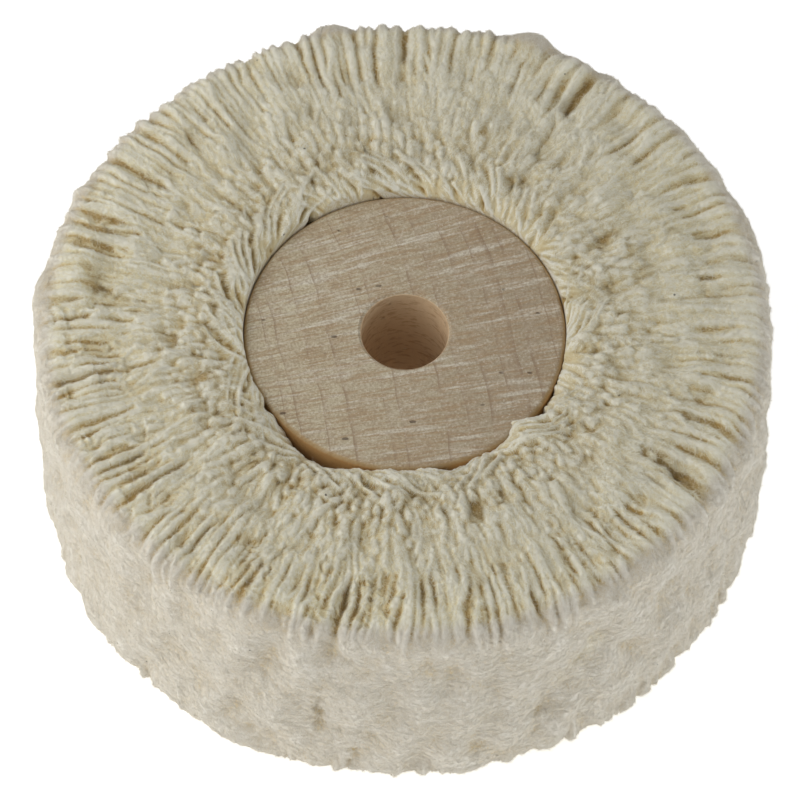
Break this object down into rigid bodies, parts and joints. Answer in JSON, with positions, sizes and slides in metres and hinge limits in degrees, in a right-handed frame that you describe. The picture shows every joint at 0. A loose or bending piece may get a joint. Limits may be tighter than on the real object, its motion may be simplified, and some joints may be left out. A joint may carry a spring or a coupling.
{
  "type": "cotton yarn polishing wheel",
  "caption": "Drum-shaped polishing wheel: a bored round wooden hub with rows of cream cotton yarn tufts set radially in its rim and trimmed to a rounded drum.",
  "frame": {"origin": "centre of the bore, half way through the hub", "axes": "+Z along the spin axis; the wheel is the same towards +Z and towards -Z, and one front row tuft points along +X"},
  "size_m": [0.1, 0.1, 0.04],
  "materials": {
    "hub_wood": "bare turned and sawn pale hardwood, matt, with fine saw lines, growth rings and small pores; darker and warmer in the bore and on the rim",
    "cotton_yarn": "soft unbleached cotton yarn, matt, twisted strands with blunt cut ends, fuzzy and felted on the rim, darker ochre in the gaps",
    "staple_wire": "drawn steel wire, satin, with fine lines along the wire"
  },
  "bodies": {
    "root": {"hub": "hub_wood", "front_row_tuft_01": "cotton_yarn", "front_row_tuft_02": "cotton_yarn", "front_row_tuft_03": "cotton_yarn", "front_row_tuft_04": "cotton_yarn", "front_row_tuft_05": "cotton_yarn", "front_row_tuft_06": "cotton_yarn", "front_row_tuft_07": "cotton_yarn", "front_row_tuft_08": "cotton_yarn", "front_row_tuft_09": "cotton_yarn", "front_row_tuft_10": "cotton_yarn", "front_row_tuft_11": "cotton_yarn", "front_row_tuft_12": "cotton_yarn", "front_row_tuft_13": "cotton_yarn", "front_row_tuft_14": "cotton_yarn", "front_row_tuft_15": "cotton_yarn", "front_row_tuft_16": "cotton_yarn", "middle_row_tuft_01": "cotton_yarn", "middle_row_tuft_02": "cotton_yarn", "middle_row_tuft_03": "cotton_yarn", "middle_row_tuft_04": "cotton_yarn", "middle_row_tuft_05": "cotton_yarn", "middle_row_tuft_06": "cotton_yarn", "middle_row_tuft_07": "cotton_yarn", "middle_row_tuft_08": "cotton_yarn", "middle_row_tuft_09": "cotton_yarn", "middle_row_tuft_10": "cotton_yarn", "middle_row_tuft_11": "cotton_yarn", "middle_row_tuft_12": "cotton_yarn", "middle_row_tuft_13": "cotton_yarn", "middle_row_tuft_14": "cotton_yarn", "middle_row_tuft_15": "cotton_yarn", "middle_row_tuft_16": "cotton_yarn", "back_row_tuft_01": "cotton_yarn", "back_row_tuft_02": "cotton_yarn", "back_row_tuft_03": "cotton_yarn", "back_row_tuft_04": "cotton_yarn", "back_row_tuft_05": "cotton_yarn", "back_row_tuft_06": "cotton_yarn", "back_row_tuft_07": "cotton_yarn", "back_row_tuft_08": "cotton_yarn", "back_row_tuft_09": "cotton_yarn", "back_row_tuft_10": "cotton_yarn", "back_row_tuft_11": "cotton_yarn", "back_row_tuft_12": "cotton_yarn", "back_row_tuft_13": "cotton_yarn", "back_row_tuft_14": "cotton_yarn", "back_row_tuft_15": "cotton_yarn", "back_row_tuft_16": "cotton_yarn", "front_row_staples": "staple_wire", "middle_row_staples": "staple_wire", "back_row_staples": "staple_wire"}
  },
  "joints": []
}
